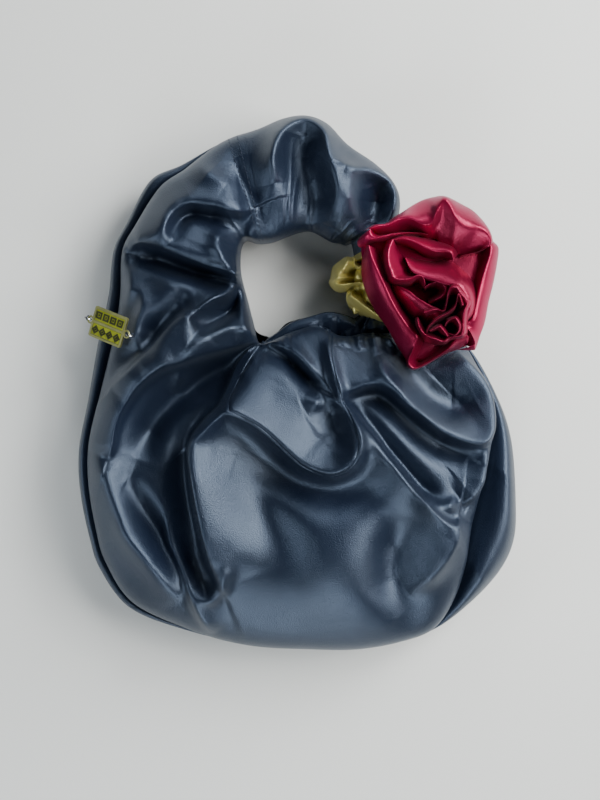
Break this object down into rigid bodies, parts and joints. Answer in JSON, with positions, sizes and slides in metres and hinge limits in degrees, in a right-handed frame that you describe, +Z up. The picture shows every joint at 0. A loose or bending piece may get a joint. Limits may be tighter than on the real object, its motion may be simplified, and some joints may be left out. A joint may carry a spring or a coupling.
{
  "type": "gathered satin hand bag",
  "caption": "Gathered satin pouch lying on its back, with a ruched loop handle, a lifting mouth edge, a satin rose on a scrunchie and a small enamelled metal badge.",
  "frame": {"origin": "centre of the box around the bag, on the surface that its back lies on", "axes": "+X is the bag's right as it lies, +Y runs from the pouch to the top of the handle, +Z is up out of the front panel"},
  "size_m": [0.2991, 0.3649, 0.09],
  "materials": {
    "navy_satin": "glossy satin",
    "navy_lining": "plain lining",
    "rose_satin": "glossy satin",
    "olive_satin": "glossy satin",
    "felt": "matt felt",
    "tape": "woven tape",
    "elastic": "braided elastic",
    "badge_metal": "plated zinc",
    "badge_enamel": "soft enamel",
    "ring_metal": "polished wire",
    "snap_metal": "plated steel",
    "thread": "polyester thread"
  },
  "bodies": {
    "bag": {"back_panel": "navy_satin", "front_panel": "navy_satin", "lining_front": "navy_lining", "lining_back": "navy_lining", "mouth_tape_back": "tape", "snap_socket": "snap_metal", "strap_left": "navy_satin", "strap_right": "navy_satin", "handle_core": "navy_lining", "badge_ring_left": "ring_metal", "badge_ring_right": "ring_metal", "badge_thread_left": "thread", "badge_thread_right": "thread"},
    "lip": {"mouth_lip": "navy_satin", "lip_lining": "navy_lining", "mouth_tape_front": "tape", "snap_stud": "snap_metal"},
    "scrunchie_band": {"scrunchie_elastic": "elastic"},
    "rose": {"scrunchie_sleeve": "olive_satin", "scrunchie_ruffle_upper": "olive_satin", "scrunchie_ruffle_lower": "olive_satin", "rose_base": "felt", "rose_core": "rose_satin", "rose_petal_inner_1": "rose_satin", "rose_petal_inner_2": "rose_satin", "rose_petal_inner_3": "rose_satin", "rose_petal_outer_1": "rose_satin", "rose_petal_outer_2": "rose_satin", "rose_petal_outer_3": "rose_satin", "rose_petal_outer_4": "rose_satin", "rose_petal_outer_5": "rose_satin"},
    "badge": {"badge_plate": "badge_metal", "badge_enamel_upper": "badge_enamel", "badge_enamel_lower": "badge_enamel"}
  },
  "joints": [
    {"name": "mouth_open", "type": "hinge", "parent": "bag", "child": "lip", "pos_m": [0, -0.03, 0.0664], "axis": [1, 0, 0], "range_deg": [0, 28]},
    {"name": "scrunchie_slide", "type": "slide", "parent": "bag", "child": "scrunchie_band", "axis": [0.1366, -0.9906, 0], "range_m": [-0.003, 0.0015]},
    {"name": "rose_turn", "type": "hinge", "parent": "scrunchie_band", "child": "rose", "pos_m": [0.056, 0.067, 0.026], "axis": [0.1366, -0.9906, 0], "range_deg": [0, 12]},
    {"name": "badge_tilt", "type": "hinge", "parent": "bag", "child": "badge", "pos_m": [-0.126, 0.0375, 0.051], "axis": [0.8158, -0.3354, 0.471], "range_deg": [-8, 8]}
  ]
}
